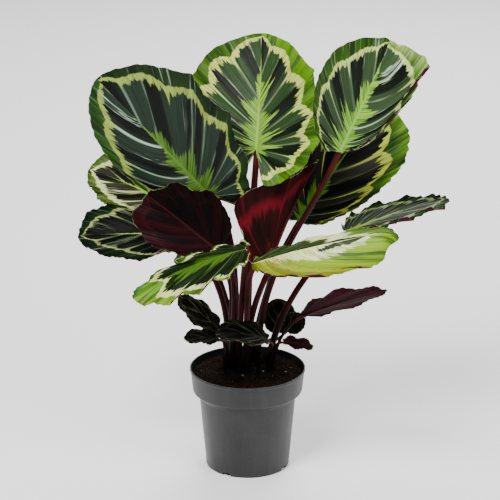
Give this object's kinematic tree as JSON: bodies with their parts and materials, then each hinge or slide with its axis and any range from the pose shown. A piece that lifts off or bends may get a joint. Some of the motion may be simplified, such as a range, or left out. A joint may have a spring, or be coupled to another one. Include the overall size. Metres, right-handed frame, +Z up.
{
  "type": "potted calathea",
  "caption": "House plant with large round leaves patterned in light and dark green, purple underneath, on dark red stems, growing in soil in a tapered plastic nursery pot.",
  "frame": {"origin": "centre of the flat face that the pot stands on", "axes": "+Z up along the pot's axis, +Y to the back, +X to the right as the plant is seen from its front"},
  "size_m": [0.4489, 0.2712, 0.5445],
  "materials": {
    "pot_plastic": "satin black, injection moulded",
    "peat_soil": "moist crumbly peat",
    "leaf_blade": "soft waxy sheen on top, matt purple underneath",
    "leaf_stem": "smooth dark red plant stem"
  },
  "bodies": {
    "root": {"pot": "pot_plastic", "soil": "peat_soil", "leaf_left_high": "leaf_blade", "leaf_left_high_stem": "leaf_stem", "leaf_top": "leaf_blade", "leaf_top_stem": "leaf_stem", "leaf_right_high": "leaf_blade", "leaf_right_high_stem": "leaf_stem", "leaf_right_back": "leaf_blade", "leaf_right_back_stem": "leaf_stem", "leaf_right_far": "leaf_blade", "leaf_right_far_stem": "leaf_stem", "leaf_right_front": "leaf_blade", "leaf_right_front_stem": "leaf_stem", "leaf_left_front": "leaf_blade", "leaf_left_front_stem": "leaf_stem", "leaf_left_under": "leaf_blade", "leaf_left_under_stem": "leaf_stem", "leaf_centre_under": "leaf_blade", "leaf_centre_under_stem": "leaf_stem", "leaf_left_mid": "leaf_blade", "leaf_left_mid_stem": "leaf_stem", "leaf_left_low": "leaf_blade", "leaf_left_low_stem": "leaf_stem", "leaf_left_inner": "leaf_blade", "leaf_left_inner_stem": "leaf_stem", "leaf_low_left": "leaf_blade", "leaf_low_left_stem": "leaf_stem", "leaf_small_left": "leaf_blade", "leaf_small_left_stem": "leaf_stem", "leaf_small_front": "leaf_blade", "leaf_small_front_stem": "leaf_stem", "leaf_small_upright": "leaf_blade", "leaf_small_upright_stem": "leaf_stem", "leaf_small_back": "leaf_blade", "leaf_small_back_stem": "leaf_stem", "leaf_low_right": "leaf_blade", "leaf_low_right_stem": "leaf_stem", "leaf_small_right": "leaf_blade", "leaf_small_right_stem": "leaf_stem"}
  },
  "joints": []
}
